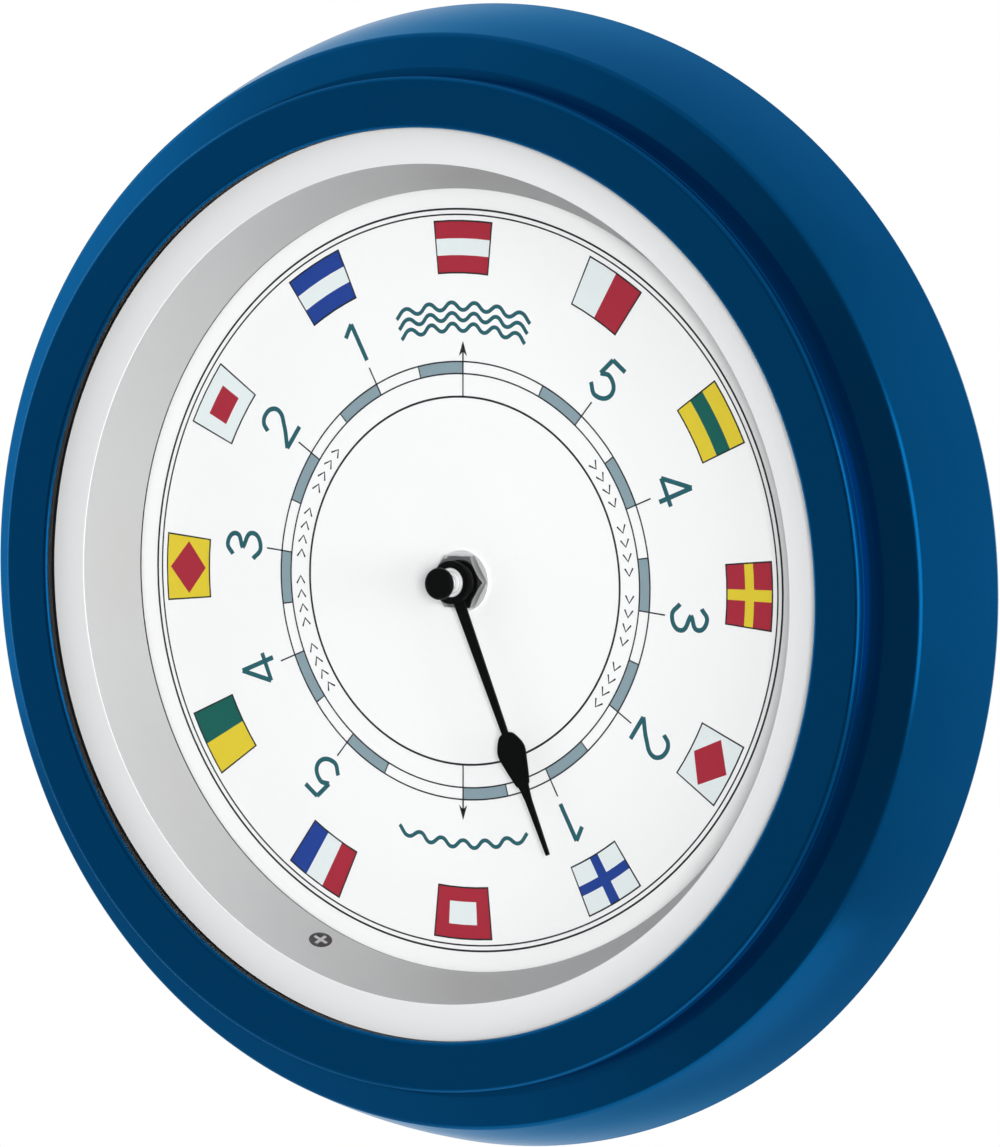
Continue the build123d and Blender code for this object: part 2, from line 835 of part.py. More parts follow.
def nodes():
    case_low = foot_height - case_wall
    bezel_spots = around(bezel_screw_count, bezel_screw_radius, bezel_screw_start)
    cover_spots = around(cover_screw_count, cover_screw_radius, cover_screw_start)
    bezel_tip = bezel_deck_low - fit_gap
    cover_tip = cover_flange_top + pilot_depth - fit_gap
    bezel_screws = [rear_screw(spot, case_low - screw_head_thick, bezel_tip) for spot in bezel_spots]
    cover_screws = [rear_screw(spot, cover_flange_low - screw_head_thick, cover_tip) for spot in cover_spots]
    return {
        "case_shell": case_shell(),
        "front_bezel": front_bezel(),
        "lens_gasket": lens_gasket(),
        "glass_lens": disc(lens_radius, lens_low, lens_top),
        "reflector_ring": reflector_ring(),
        "reflector_screw": wall_screw(),
        "dial_plate": dial_plate(),
        "threaded_bush": threaded_bush(),
        "dial_cushion": cushion(),
        "dial_washer": dial_washer(),
        "hex_nut": hex_nut(),
        "tide_hand": tide_hand(),
        "hand_bush": hand_bush(),
        "hour_wheel": hour_wheel(),
        "centre_arbor": centre_arbor(),
        "cannon_pinion": cannon_pinion(),
        "hand_cap": hand_cap(),
        "minute_wheel": minute_wheel(),
        "setting_stem": setting_stem(),
        "setting_knob": setting_knob(),
        "centre_wheel": centre_wheel(),
        "third_wheel": third_wheel(),
        "second_wheel": second_wheel(),
        "intermediate_wheel": intermediate_wheel(),
        "rotor_pinion": rotor_pinion(),
        "rotor_magnet": rotor_magnet(),
        "train_plate": train_plate(),
        "movement_front": movement_front(),
        "movement_back": movement_back(),
        "stator_plate": stator_plate(),
        "coil_core": coil_core(),
        "coil_winding": coil_winding(),
        "circuit_board": circuit_board(),
        "quartz_crystal": quartz_crystal(),
        "chip": chip(),
        "battery_cell": battery_cell(),
        "contact_left": battery_contact(-1),
        "contact_right": battery_contact(1),
        "back_cover": back_cover(),
        "bezel_screws": Compound(children=bezel_screws),
        "cover_screws": Compound(children=cover_screws),
    }


os.makedirs("parts", exist_ok=True)
for name, shape in nodes().items():
    export_step(Rot(90, 0, 0) * shape, f"parts/{name}.step")
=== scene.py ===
import bpy
import math
from mathutils import Matrix, Vector


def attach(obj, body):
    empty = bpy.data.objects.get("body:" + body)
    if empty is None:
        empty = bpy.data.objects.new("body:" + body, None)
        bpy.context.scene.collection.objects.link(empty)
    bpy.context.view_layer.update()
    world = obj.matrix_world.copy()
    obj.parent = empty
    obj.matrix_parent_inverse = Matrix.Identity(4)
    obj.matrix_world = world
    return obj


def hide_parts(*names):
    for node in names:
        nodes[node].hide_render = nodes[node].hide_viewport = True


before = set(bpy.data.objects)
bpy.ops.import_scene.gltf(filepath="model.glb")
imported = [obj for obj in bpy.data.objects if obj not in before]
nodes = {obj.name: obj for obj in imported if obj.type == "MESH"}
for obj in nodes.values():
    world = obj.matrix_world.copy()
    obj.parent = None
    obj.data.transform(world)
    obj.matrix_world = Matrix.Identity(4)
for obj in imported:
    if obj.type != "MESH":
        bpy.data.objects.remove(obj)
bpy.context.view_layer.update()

mm = 0.001

# Photograph calibration
dial_face = 20.0
camera_turn = math.radians(32.95)
camera_rise = math.radians(4.51)
camera_reach = 1671.6
camera_lens = 263.7
aim_right = 7.24
aim_up = 1.47

# Dial print, in millimetres on the dial face
ink_thick = 0.02
chapter_outer = 74.0
chapter_inner = 72.9
scale_outer = 43.7
scale_inner = 41.3
pointer_circle = 36.7
chapter_outer_line = 0.4
chapter_inner_line = 0.32
scale_line = 0.3
pointer_line = 0.42
arrow_line = 0.34
block_end_line = 0.26
tide_hour = 28.1
tick_out = 47.4
arrow_out = 47.8
arrow_head_length = 3.0
arrow_half = 0.95
numeral_radius = 53.0
numeral_height = 9.0
numeral_bold = 0.95
wave_radius = 52.6
wave_rise = 0.75
wave_gap = 2.1
wave_bold = 0.8
wave_reach = 17.0
wave_crests = 6
chevron_radius = 39.0
chevron_half = 0.95
chevron_bold = 0.36
chevron_sides = (-88, 89)
chevron_group_step = 20.5
chevron_step = 4.2
flag_inner = 61.5
flag_outer = 71.5
flag_spread = 10.6
flag_edge = 0.33
flag_step = 30
flag_mark_size = 0.86


# Case sections in millimetres, as radius, height in front of the wall and rounding
bezel_section = [
    (90.4, 36.5, 0.9),
    (90.4, 34.5, 0.25),
    (94.3, 34.5, 0),
    (94.3, 33.5, 0),
    (98.7, 33.5, 0),
    (98.7, 29.5, 0),
    (100.5, 29.5, 0.15),
    (100.5, 34.3, 0.1),
    (100.1, 34.55, 0.1),
    (100.5, 34.8, 0.1),
    (100.5, 36.5, 0.9),
]
# Painted shade: the lip's inner wall, inside the first radius and below the second height, takes
# the black gasket finish
lip_inside = 90.6
lip_painted_shade_top = 35.9
case_section = [
    (86.1, 31.9, 0),
    (86.1, 19.2, 0),
    (76.7, 19.2, 0),
    (76.7, 18.0, 0),
    (88.6, 18.0, 0),
    (88.6, 27.1, 0),
    (102.1, 27.1, 0),
    (106.4, 24.8, 0.8),
    (112.2, 9.8, 0),
    (112.2, 5.4, 0),
    (113.7, 5.4, 0.9),
    (114.6, 7.4, 0.4),
    (112.4, 17.3, 114.6),
    (108.8, 27.2, 1.6),
    (102.1, 29.5, 1.0),
    (88.6, 29.5, 0),
    (88.6, 31.9, 0),
]
crease_radius = 83.25
reflector_section = [
    (78.0, 20.45, 0.15),
    (83.3, 33.2, 0.2),
    (90.2, 33.1, 0.1),
    (94.4, 33.1, 0),
    (94.4, 31.9, 0),
    (84.5, 31.9, 0),
    (79.2, 20.45, 0),
]
foot_seal_section = [
    (78.15, 20.02, 0),
    (79.2, 20.02, 0),
    (79.2, 20.43, 0),
    (78.15, 20.43, 0),
]
gasket_section = [
    (90.6, 33.1, 0),
    (94.2, 33.1, 0),
    (94.2, 34.5, 0),
    (90.6, 34.5, 0),
    (90.6, 34.3, 0),
    (93.4, 34.3, 0),
    (93.4, 33.3, 0),
    (90.6, 33.3, 0),
]


def clear_choice():
    if bpy.context.mode != "OBJECT":
        bpy.ops.object.mode_set(mode="OBJECT")
    bpy.ops.object.select_all(action="DESELECT")


def choose(*pieces):
    clear_choice()
    for piece in pieces:
        piece.select_set(True)
    bpy.context.view_layer.objects.active = pieces[0]


def apply_modifier(piece, modifier):
    choose(piece)
    bpy.ops.object.modifier_apply(modifier=modifier.name)


# Materials
def new_material(name):
    material = bpy.data.materials.new(name)
    material.use_nodes = True
    tree = material.node_tree
    return material, tree, tree.nodes["Principled BSDF"]


def shader_of(material):
    return material.node_tree.nodes["Principled BSDF"]


def make_group(name, inputs, outputs):
    group = bpy.data.node_groups.new(name, "ShaderNodeTree")
    for label, kind, value in inputs:
        socket = group.interface.new_socket(label, in_out="INPUT", socket_type=kind)
        socket.default_value = value
    for label, kind in outputs:
        group.interface.new_socket(label, in_out="OUTPUT", socket_type=kind)
    entry = group.nodes.new("NodeGroupInput")
    leave = group.nodes.new("NodeGroupOutput")
    return group, entry, leave


def fine_grain_group():
    # Cloudy tone and fine surface grain shared by every moulded or painted finish
    group, entry, leave = make_group(
        "fine_grain",
        [
            ("Color", "NodeSocketColor", (0.5, 0.5, 0.5, 1)),
            ("Tone Scale", "NodeSocketFloat", 40.0),
            ("Tone Amount", "NodeSocketFloat", 0.08),
            ("Grain Scale", "NodeSocketFloat", 900.0),
            ("Grain Depth", "NodeSocketFloat", 0.1),
            ("Roughness", "NodeSocketFloat", 0.4),
            ("Roughness Swing", "NodeSocketFloat", 0.1),
        ],
        [
            ("Color", "NodeSocketColor"),
            ("Roughness", "NodeSocketFloat"),
            ("Normal", "NodeSocketVector"),
        ],
    )
    links = group.links
    place = group.nodes.new("ShaderNodeTexCoord")
    tone = group.nodes.new("ShaderNodeTexNoise")
    tone.inputs["Detail"].default_value = 4
    links.new(place.outputs["Object"], tone.inputs["Vector"])
    links.new(entry.outputs["Tone Scale"], tone.inputs["Scale"])
    centred = group.nodes.new("ShaderNodeMath")
    centred.operation = "SUBTRACT"
    centred.inputs[1].default_value = 0.5
    links.new(tone.outputs["Fac"], centred.inputs[0])
    amount = group.nodes.new("ShaderNodeMath")
    amount.operation = "MULTIPLY_ADD"
    amount.inputs[2].default_value = 1.0
    links.new(centred.outputs[0], amount.inputs[0])
    links.new(entry.outputs["Tone Amount"], amount.inputs[1])
    shade = group.nodes.new("ShaderNodeVectorMath")
    shade.operation = "SCALE"
    links.new(entry.outputs["Color"], shade.inputs[0])
    links.new(amount.outputs[0], shade.inputs["Scale"])
    links.new(shade.outputs[0], leave.inputs["Color"])
    swing = group.nodes.new("ShaderNodeMath")
    swing.operation = "MULTIPLY_ADD"
    links.new(centred.outputs[0], swing.inputs[0])
    links.new(entry.outputs["Roughness Swing"], swing.inputs[1])
    links.new(entry.outputs["Roughness"], swing.inputs[2])
    links.new(swing.outputs[0], leave.inputs["Roughness"])
    grain = group.nodes.new("ShaderNodeTexNoise")
    grain.inputs["Detail"].default_value = 2
    links.new(place.outputs["Object"], grain.inputs["Vector"])
    links.new(entry.outputs["Grain Scale"], grain.inputs["Scale"])
    bump = group.nodes.new("ShaderNodeBump")
    bump.inputs["Distance"].default_value = 0.0001
    links.new(grain.outputs["Fac"], bump.inputs["Height"])
    links.new(entry.outputs["Grain Depth"], bump.inputs["Strength"])
    links.new(bump.outputs["Normal"], leave.inputs["Normal"])
    return group


def turned_lines_group():
    # Concentric lathe lines about the clock axis for spun and turned metal
    group, entry, leave = make_group(
        "turned_lines",
        [
            ("Line Scale", "NodeSocketFloat", 600.0),
            ("Depth", "NodeSocketFloat", 0.1),
            ("Roughness", "NodeSocketFloat", 0.3),
            ("Roughness Swing", "NodeSocketFloat", 0.1),
        ],
        [("Roughness", "NodeSocketFloat"), ("Normal", "NodeSocketVector")],
    )
    links = group.links
    place = group.nodes.new("ShaderNodeTexCoord")
    parts = group.nodes.new("ShaderNodeSeparateXYZ")
    links.new(place.outputs["Object"], parts.inputs[0])
    across = group.nodes.new("ShaderNodeCombineXYZ")
    links.new(parts.outputs["X"], across.inputs["X"])
    links.new(parts.outputs["Z"], across.inputs["Y"])
    reach = group.nodes.new("ShaderNodeVectorMath")
    reach.operation = "LENGTH"
    links.new(across.outputs[0], reach.inputs[0])
    depth_in = group.nodes.new("ShaderNodeMath")
    depth_in.operation = "ADD"
    links.new(reach.outputs["Value"], depth_in.inputs[0])
    links.new(parts.outputs["Y"], depth_in.inputs[1])
    lines = group.nodes.new("ShaderNodeTexNoise")
    lines.noise_dimensions = "1D"
    lines.inputs["Detail"].default_value = 3
    links.new(depth_in.outputs[0], lines.inputs["W"])
    links.new(entry.outputs["Line Scale"], lines.inputs["Scale"])
    swing = group.nodes.new("ShaderNodeMath")
    swing.operation = "MULTIPLY_ADD"
    links.new(lines.outputs["Fac"], swing.inputs[0])
    links.new(entry.outputs["Roughness Swing"], swing.inputs[1])
    links.new(entry.outputs["Roughness"], swing.inputs[2])
    links.new(swing.outputs[0], leave.inputs["Roughness"])
    bump = group.nodes.new("ShaderNodeBump")
    bump.inputs["Distance"].default_value = 0.0001
    links.new(lines.outputs["Fac"], bump.inputs["Height"])
    links.new(entry.outputs["Depth"], bump.inputs["Strength"])
    links.new(bump.outputs["Normal"], leave.inputs["Normal"])
    return group


fine_grain = fine_grain_group()
turned_lines = turned_lines_group()


def grained(
    name, color, rough, tone=0.08, tone_scale=40.0,
    grain=0.1, grain_scale=900.0, metal=0.0, swing=0.08,
):
    material, tree, shader = new_material(name)
    node = tree.nodes.new("ShaderNodeGroup")
    node.node_tree = fine_grain
    node.inputs["Color"].default_value = (*color, 1)
    node.inputs["Tone Scale"].default_value = tone_scale
    node.inputs["Tone Amount"].default_value = tone
    node.inputs["Grain Scale"].default_value = grain_scale
    node.inputs["Grain Depth"].default_value = grain
    node.inputs["Roughness"].default_value = rough
    node.inputs["Roughness Swing"].default_value = swing
    tree.links.new(node.outputs["Color"], shader.inputs["Base Color"])
    tree.links.new(node.outputs["Roughness"], shader.inputs["Roughness"])
    tree.links.new(node.outputs["Normal"], shader.inputs["Normal"])
    shader.inputs["Metallic"].default_value = metal
    return material


def turned_metal(name, color, rough, depth=0.1, line_scale=600.0, swing=0.1, metal=1.0):
    material, tree, shader = new_material(name)
    node = tree.nodes.new("ShaderNodeGroup")
    node.node_tree = turned_lines
    node.inputs["Line Scale"].default_value = line_scale
    node.inputs["Depth"].default_value = depth
    node.inputs["Roughness"].default_value = rough
    node.inputs["Roughness Swing"].default_value = swing
    tree.links.new(node.outputs["Roughness"], shader.inputs["Roughness"])
    tree.links.new(node.outputs["Normal"], shader.inputs["Normal"])
    shader.inputs["Base Color"].default_value = (*color, 1)
    shader.inputs["Metallic"].default_value = metal
    return material


blue_gloss = grained(
    "blue_gloss", (0.0, 0.086, 0.245),
    rough=0.22, tone=0.06, tone_scale=25.0, grain=0.02, grain_scale=400.0, metal=0.88, swing=0.05,
)
shader_of(blue_gloss).inputs["Specular Tint"].default_value = (0.42, 0.74, 1.0, 1)
satin_silver = turned_metal(
    "satin_silver", (0.84, 0.84, 0.84),
    rough=0.42, depth=0.05, line_scale=900.0, swing=0.08, metal=0.1,
)
# Darker copy of the satin silver for the reflector's inner wall: painted shade
painted_shade_wall = turned_metal(
    "painted_shade_wall", (0.41, 0.41, 0.41),
    rough=0.48, depth=0.05, line_scale=900.0, swing=0.08, metal=0.05,
)
shader_of(painted_shade_wall).inputs["Specular IOR Level"].default_value = 0.2
polished_nickel = turned_metal(
    "polished_nickel", (0.74, 0.74, 0.73),
    rough=0.08, depth=0.03, line_scale=1500.0, swing=0.05,
)
# Darker copy of polished nickel for the hex nut: painted dark reflection
painted_shade_chrome = turned_metal(
    "painted_shade_chrome", (0.34, 0.34, 0.34),
    rough=0.08, depth=0.03, line_scale=1500.0, swing=0.05,
)
satin_nickel = turned_metal(
    "satin_nickel", (0.86, 0.86, 0.86),
    rough=0.25, depth=0.05, line_scale=1500.0, swing=0.05, metal=0.35,
)
spun_brass = turned_metal(
    "spun_brass", (0.72, 0.5, 0.2),
    rough=0.25, depth=0.06, line_scale=1500.0, swing=0.1,
)
dial_white = grained(
    "dial_white", (0.93, 0.93, 0.92),
    rough=0.55, tone=0.02, tone_scale=30.0, grain=0.03, grain_scale=1500.0,
)
hand_black = grained(
    "hand_black", (0.0006, 0.0006, 0.0006),
    rough=0.45, tone=0.2, tone_scale=200.0, grain=0.05, grain_scale=2500.0,
)
shader_of(hand_black).inputs["Specular IOR Level"].default_value = 0.06
gasket_black = grained(
    "gasket_black", (0.006, 0.006, 0.006),
    rough=0.75, tone=0.3, tone_scale=120.0, grain=0.3, grain_scale=1800.0,
)
screw_steel = grained(
    "screw_steel", (0.12, 0.12, 0.125),
    rough=0.32, tone=0.2, tone_scale=300.0, grain=0.05, grain_scale=3000.0, metal=1.0,
)
moulded_black = grained(
    "moulded_black", (0.012, 0.012, 0.013),
    rough=0.5, tone=0.15, tone_scale=60.0, grain=0.5, grain_scale=1300.0,
)
movement_black = grained(
    "movement_black", (0.018, 0.018, 0.02),
    rough=0.42, tone=0.12, tone_scale=90.0, grain=0.3, grain_scale=1600.0,
)
gear_white = grained(
    "gear_white", (0.8, 0.79, 0.74),
    rough=0.45, tone=0.06, tone_scale=200.0, grain=0.06, grain_scale=2500.0,
)
coil_copper = turned_metal(
    "coil_copper", (0.62, 0.25, 0.1),
    rough=0.35, depth=0.4, line_scale=3000.0, swing=0.15,
)
board_green = grained(
    "board_green", (0.01, 0.09, 0.035),
    rough=0.35, tone=0.25, tone_scale=300.0, grain=0.08, grain_scale=3000.0,
)
cell_wrap = grained(
    "cell_wrap", (0.03, 0.035, 0.045),
    rough=0.3, tone=0.08, tone_scale=80.0, grain=0.04, grain_scale=1500.0,
)
motor_steel = grained(
    "motor_steel", (0.32, 0.32, 0.33),
    rough=0.38, tone=0.1, tone_scale=250.0, grain=0.1, grain_scale=2500.0, metal=1.0,
)

clear_glass, glass_tree, shader = new_material("clear_glass")
shader.inputs["Base Color"].default_value = (1, 1, 1, 1)
shader.inputs["Roughness"].default_value = 0.0
shader.inputs["IOR"].default_value = 1.15
shader.inputs["Transmission Weight"].default_value = 1.0
glass_path = glass_tree.nodes.new("ShaderNodeLightPath")
glass_clear = glass_tree.nodes.new("ShaderNodeBsdfTransparent")
glass_mix = glass_tree.nodes.new("ShaderNodeMixShader")
glass_mirrored = glass_tree.nodes.new("ShaderNodeMath")
glass_mirrored.operation = "GREATER_THAN"
glass_tree.links.new(glass_path.outputs["Is Glossy Ray"], glass_mirrored.inputs[0])
glass_tree.links.new(glass_path.outputs["Is Transmission Ray"], glass_mirrored.inputs[1])
glass_bounced = glass_tree.nodes.new("ShaderNodeMath")
glass_bounced.operation = "MAXIMUM"
glass_tree.links.new(glass_path.outputs["Is Diffuse Ray"], glass_bounced.inputs[0])
glass_tree.links.new(glass_mirrored.outputs[0], glass_bounced.inputs[1])
glass_passed = glass_tree.nodes.new("ShaderNodeMath")
glass_passed.operation = "MAXIMUM"
glass_tree.links.new(glass_bounced.outputs[0], glass_passed.inputs[0])
glass_tree.links.new(glass_path.outputs["Is Shadow Ray"], glass_passed.inputs[1])
glass_tree.links.new(glass_passed.outputs[0], glass_mix.inputs["Fac"])
glass_tree.links.new(shader.outputs[0], glass_mix.inputs[1])
glass_tree.links.new(glass_clear.outputs[0], glass_mix.inputs[2])
glass_tree.links.new(glass_mix.outputs[0], glass_tree.nodes["Material Output"].inputs["Surface"])

line_ink = grained(
    "line_ink", (0.008, 0.012, 0.013),
    rough=0.6, tone=0.3, tone_scale=300.0, grain=0.05, grain_scale=3000.0,
)
numeral_ink = grained(
    "numeral_ink", (0.010, 0.105, 0.125),
    rough=0.6, tone=0.2, tone_scale=300.0, grain=0.05, grain_scale=3000.0,
)
block_ink = grained(
    "block_ink", (0.24, 0.33, 0.37),
    rough=0.6, tone=0.1, tone_scale=300.0, grain=0.05, grain_scale=3000.0,
)
flag_red = grained(
    "flag_red", (0.38, 0.016, 0.036),
    rough=0.6, tone=0.1, tone_scale=300.0, grain=0.05, grain_scale=3000.0,
)
flag_blue = grained(
    "flag_blue", (0.008, 0.045, 0.28),
    rough=0.6, tone=0.1, tone_scale=300.0, grain=0.05, grain_scale=3000.0,
)
flag_yellow = grained(
    "flag_yellow", (0.74, 0.58, 0.03),
    rough=0.6, tone=0.08, tone_scale=300.0, grain=0.05, grain_scale=3000.0,
)
flag_green = grained(
    "flag_green", (0.0, 0.105, 0.085),
    rough=0.6, tone=0.1, tone_scale=300.0, grain=0.05, grain_scale=3000.0,
)
flag_white = grained(
    "flag_white", (0.78, 0.84, 0.84),
    rough=0.6, tone=0.04, tone_scale=300.0, grain=0.05, grain_scale=3000.0,
)

node_finish = {
    "case_shell": blue_gloss,
    "front_bezel": blue_gloss,
    "lens_gasket": gasket_black,
    "glass_lens": clear_glass,
    "reflector_ring": satin_silver,
    "reflector_screw": screw_steel,
    "dial_plate": dial_white,
    "threaded_bush": polished_nickel,
    "dial_cushion": gasket_black,
    "dial_washer": satin_nickel,
    "hex_nut": painted_shade_chrome,
    "tide_hand": hand_black,
    "hand_bush": satin_nickel,
    "hour_wheel": satin_nickel,
    "centre_arbor": satin_nickel,
    "cannon_pinion": spun_brass,
    "hand_cap": hand_black,
    "minute_wheel": gear_white,
    "setting_stem": gear_white,
    "setting_knob": movement_black,
    "centre_wheel": gear_white,
    "third_wheel": gear_white,
    "second_wheel": gear_white,
    "intermediate_wheel": gear_white,
    "rotor_pinion": gear_white,
    "rotor_magnet": motor_steel,
    "train_plate": gear_white,
    "movement_front": movement_black,
    "movement_back": movement_black,
    "stator_plate": motor_steel,
    "coil_core": motor_steel,
    "coil_winding": coil_copper,
    "circuit_board": board_green,
    "quartz_crystal": polished_nickel,
    "chip": movement_black,
    "battery_cell": cell_wrap,
    "contact_left": polished_nickel,
    "contact_right": polished_nickel,
    "back_cover": moulded_black,
    "bezel_screws": screw_steel,
    "cover_screws": screw_steel,
}
for node_name, finish in node_finish.items():
    node_object = nodes[node_name]
    node_object.data.materials.clear()
    node_object.data.materials.append(finish)


def paint(piece, *finishes):
    piece.data.materials.clear()
    for finish in finishes:
        piece.data.materials.append(finish)


def join_pieces(name, pieces):
    choose(*pieces)
    if len(pieces) > 1:
        bpy.ops.object.join()
    joined = bpy.context.active_object
    joined.name = name
    joined.data.name = name
    return joined


# Turned rings of the case
def rounded_corner(before, corner, after, rounding, arc_steps=6):
    # The short arc that takes the place of a sharp corner
    to_before = (before - corner).normalized()
    to_after = (after - corner).normalized()
    half = to_before.angle(to_after) / 2
    centre = corner + (to_before + to_after).normalized() * rounding / math.sin(half)
    start = corner + to_before * rounding / math.tan(half) - centre
    end = corner + to_after * rounding / math.tan(half) - centre
    start_angle = math.atan2(start.y, start.x)
    swing = (math.atan2(end.y, end.x) - start_angle + math.pi) % (2 * math.pi) - math.pi
    arc = []
    for step in range(arc_steps + 1):
        angle = start_angle + swing * step / arc_steps
        arc.append(centre + rounding * Vector((math.cos(angle), math.sin(angle))))
    return arc


def turned_ring(name, section, finish, steps=320):
    # One closed section spun round the clock axis
    spots = [Vector(corner[:2]) for corner in section]
    outline = []
    for index, corner in enumerate(section):
        if corner[2]:
            after = spots[(index + 1) % len(spots)]
            outline += rounded_corner(spots[index - 1], spots[index], after, corner[2])
        else:
            outline.append(spots[index])
    clear_choice()
    bpy.ops.mesh.primitive_circle_add(vertices=len(outline), radius=1)
    piece = bpy.context.active_object
    piece.name = name
    for vertex, spot in zip(piece.data.vertices, outline):
        vertex.co = (spot.x * mm, -spot.y * mm, 0)
    bpy.ops.object.mode_set(mode="EDIT")
    bpy.ops.mesh.select_all(action="SELECT")
    bpy.ops.mesh.spin(steps=steps, angle=2 * math.pi, center=(0, 0, 0), axis=(0, 1, 0))
    bpy.ops.mesh.select_all(action="SELECT")
    bpy.ops.mesh.remove_doubles(threshold=0.000003)
    bpy.ops.mesh.normals_make_consistent(inside=False)
    bpy.ops.object.mode_set(mode="OBJECT")
    bpy.ops.object.shade_smooth_by_angle(angle=math.radians(28))
    paint(piece, finish)
    return piece


def bosses(name, reach, count, start, outer, bore, low, high):
    # Screw posts moulded inside a ring
    posts = []
    for index in range(count):
        angle = math.radians(start + index * 360 / count)
        section = [(bore, low, 0), (outer, low, 0), (outer, high, 0), (bore, high, 0)]
        post = turned_ring(name, section, blue_gloss, 24)
        place = Vector((reach * math.cos(angle), 0, reach * math.sin(angle))) * mm
        post.data.transform(Matrix.Translation(place))
        posts.append(post)
    return posts


def ring_of_case(name, pieces, node):
    ring = join_pieces(name, pieces)
    even = ring.modifiers.new("even_shading", "WEIGHTED_NORMAL")
    even.keep_sharp = True
    apply_modifier(ring, even)
    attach(ring, "case")
    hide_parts(node)
    return ring


bezel_posts = bosses(
    "bezel_post", reach=97.1, count=6, start=30, outer=2.2, bore=1.25, low=29.5, high=33.6
)
bezel = turned_ring("turned_bezel", bezel_section, blue_gloss)
bezel.data.materials.append(gasket_black)
# Painted shade: the lower part of the lip's inner wall is painted gasket black to darken it
for face in bezel.data.polygons:
    low = -face.center.y < lip_painted_shade_top * mm
    if low and math.hypot(face.center.x, face.center.z) < lip_inside * mm:
        face.material_index = 1
ring_of_case("turned_bezel", [bezel] + bezel_posts, "front_bezel")
cover_posts = bosses(
    "cover_post", reach=101.0, count=4, start=45, outer=3.4, bore=1.25, low=8.4, high=27.2
)
shell = turned_ring("turned_shell", case_section, blue_gloss)
ring_of_case("turned_shell", [shell] + cover_posts, "case_shell")
reflector = turned_ring("turned_reflector", reflector_section, satin_silver)
reflector.data.materials.append(painted_shade_wall)
# Painted shade: faces inside the crease, the inner wall, take the darker silver copy
for face in reflector.data.polygons:
    if math.hypot(face.center.x, face.center.z) < crease_radius * mm:
        face.material_index = 1
ring_of_case("turned_reflector", [reflector], "reflector_ring")
foot_seal = turned_ring("foot_seal", foot_seal_section, gasket_black)
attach(foot_seal, "case")
gasket = turned_ring("turned_gasket", gasket_section, gasket_black)
ring_of_case("turned_gasket", [gasket], "lens_gasket")


# Dial print
def stand_on_dial(piece, lift):
    # From dial paper, X right and Y up, to the standing clock
    height = (dial_face + lift) * mm
    turn = Matrix.Rotation(math.pi / 2, 4, "X")
    piece.data.transform(turn @ Matrix.Translation((0, 0, height)) @ Matrix.Scale(mm, 4))


def clock_point(radius, degrees):
    # Degrees run clockwise from the top of the dial
    angle = math.radians(degrees)
    return (radius * math.sin(angle), radius * math.cos(angle))


def bent_grid(name, inner, outer, start, end, columns, rows=(0, 1), lines=None):
    # A flat grid bent round the dial from start to end, with its own column and row lines
    if lines is None:
        lines = [index / columns for index in range(columns + 1)]
    clear_choice()
    columns_of_cells, rows_of_cells = len(lines) - 1, len(rows) - 1
    bpy.ops.mesh.primitive_grid_add(
        x_subdivisions=columns_of_cells, y_subdivisions=rows_of_cells, size=1
    )
    piece = bpy.context.active_object
    piece.name = name
    for vertex in piece.data.vertices:
        column = round((vertex.co.x + 0.5) * (len(lines) - 1))
        row = round((vertex.co.y + 0.5) * (len(rows) - 1))
        degrees = start + (end - start) * lines[column]
        radius = inner + (outer - inner) * rows[row]
        x, y = clock_point(radius, degrees)
        vertex.co = (x, y, 0)
    bpy.ops.object.mode_set(mode="EDIT")
    bpy.ops.mesh.select_all(action="SELECT")
    bpy.ops.mesh.remove_doubles(threshold=0.0005)
    bpy.ops.mesh.normals_make_consistent(inside=False)
    bpy.ops.object.mode_set(mode="OBJECT")
    if piece.data.polygons[0].normal.z < 0:
        piece.data.flip_normals()
    return piece


def print_on_dial(name, pieces, lift, thicken=True):
    joined = join_pieces(name, pieces)
    if thicken:
        ink = joined.modifiers.new("ink", "SOLIDIFY")
        ink.thickness = ink_thick
        ink.offset = 1.0
        apply_modifier(joined, ink)
    stand_on_dial(joined, lift)
    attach(joined, "case")
    return joined


def ring_line(name, radius, width):
    piece = bent_grid(name, radius - width / 2, radius + width / 2, 0, 360, 240)
    paint(piece, line_ink)
    return piece


def ray_line(name, degrees, inner, outer, width):
    half = math.degrees(width / 2 / outer)
    piece = bent_grid(name, inner, outer, degrees - half, degrees + half, 1)
    paint(piece, line_ink)
    return piece


def arrow_head(name, degrees, base, tip, half_width):
    clear_choice()
    bpy.ops.mesh.primitive_circle_add(vertices=4, radius=1, fill_type="NGON")
    piece = bpy.context.active_object
    piece.name = name
    middle = base + (tip - base) * 0.3
    corners = [(0, tip), (half_width, base), (0, middle), (-half_width, base)]
    angle = math.radians(degrees)
    for vertex, (x, y) in zip(piece.data.vertices, corners):
        vertex.co = (
            x * math.cos(angle) + y * math.sin(angle),
            y * math.cos(angle) - x * math.sin(angle),
            0,
        )
    if piece.data.polygons[0].normal.z < 0:
        piece.data.flip_normals()
    paint(piece, line_ink)
    return piece


lines = [
    ring_line("chapter_outer", chapter_outer, chapter_outer_line),
    ring_line("chapter_inner", chapter_inner, chapter_inner_line),
    ring_line("scale_outer", scale_outer, scale_line),
    ring_line("scale_inner", scale_inner, scale_line),
    ring_line("pointer_circle", pointer_circle, pointer_line),
]
for degrees in (0, 180):
    stem_end = arrow_out - arrow_head_length / 2
    head_base = arrow_out - arrow_head_length
    lines.append(ray_line("arrow_stem", degrees, pointer_circle, stem_end, arrow_line))
    lines.append(arrow_head("arrow_head", degrees, head_base, arrow_out, arrow_half))
for hour in range(1, 6):
    lines.append(ray_line("hour_tick", -hour * tide_hour, scale_inner, tick_out, scale_line))
    lines.append(ray_line("hour_tick", 180 - hour * tide_hour, scale_inner, tick_out, scale_line))
print_on_dial("dial_lines", lines, ink_thick * 2)

